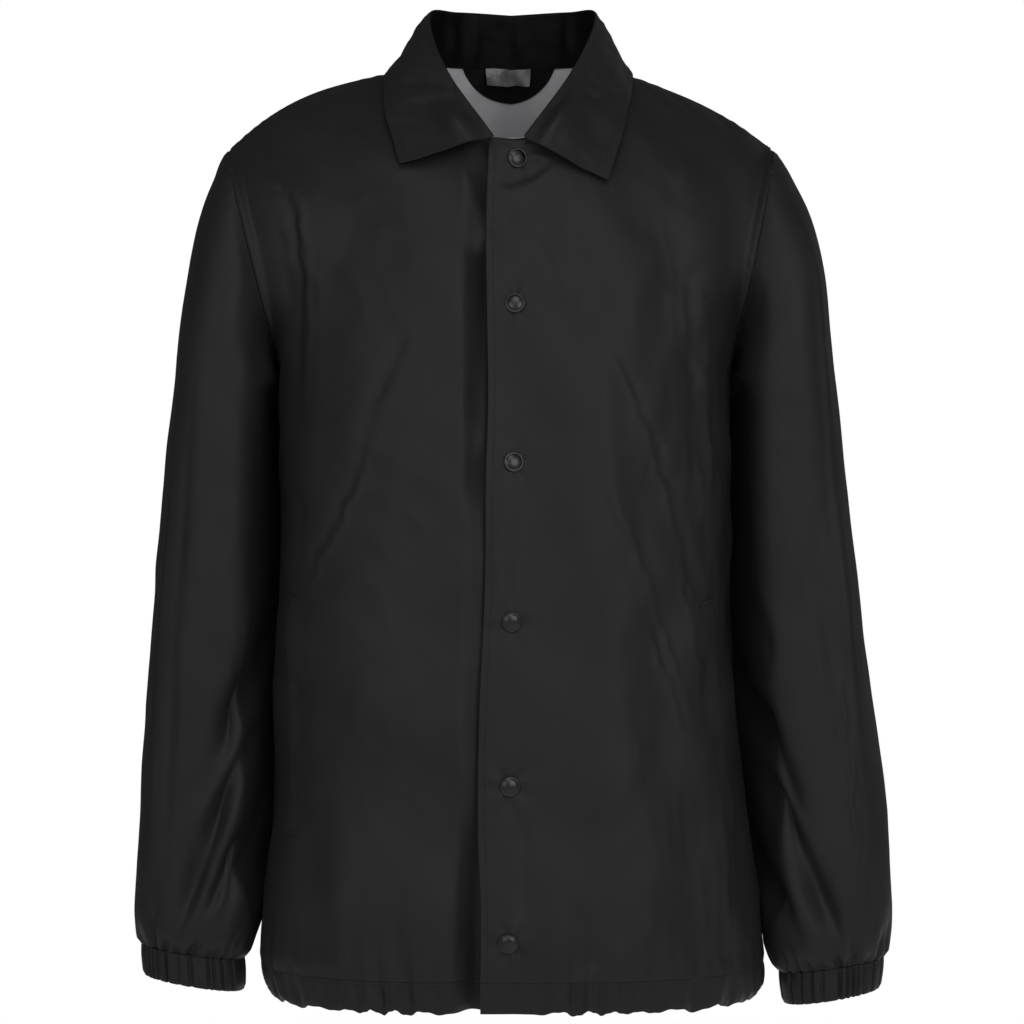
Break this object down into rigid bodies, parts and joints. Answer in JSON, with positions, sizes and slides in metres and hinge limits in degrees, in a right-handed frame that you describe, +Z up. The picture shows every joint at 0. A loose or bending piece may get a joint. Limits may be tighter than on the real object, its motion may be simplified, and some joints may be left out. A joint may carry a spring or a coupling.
{
  "type": "windbreaker",
  "caption": "Thin black nylon windbreaker with a turn-down collar, snap front, side pockets and elastic cuffs and hem, hollow and filled out as when worn.",
  "frame": {"origin": "midway between the neck points of the two shoulders, where the garment rests on its wearer", "axes": "+Z up towards the collar, -Y the snap front, +X the wearer's left"},
  "size_m": [0.5897, 0.293, 0.7856],
  "materials": {
    "shell_nylon": "plain nylon weave, dull sheen",
    "casing_nylon": "gathered nylon casing",
    "patch_nylon": "plain nylon weave",
    "label_satin": "grey satin",
    "snap_metal": "dark glossy cap"
  },
  "bodies": {
    "root": {"front_right": "shell_nylon", "front_left": "shell_nylon", "back": "shell_nylon", "sleeve_right": "shell_nylon", "sleeve_left": "shell_nylon", "collar": "shell_nylon", "pocket_edge_right": "shell_nylon", "pocket_edge_left": "shell_nylon", "cuff_right": "casing_nylon", "cuff_left": "casing_nylon", "hem_front_right": "casing_nylon", "hem_front_left": "casing_nylon", "hem_back": "casing_nylon", "neck_patch": "patch_nylon", "neck_label": "label_satin", "snap_1": "snap_metal", "snap_2": "snap_metal", "snap_3": "snap_metal", "snap_4": "snap_metal", "snap_5": "snap_metal", "snap_6": "snap_metal"}
  },
  "joints": []
}
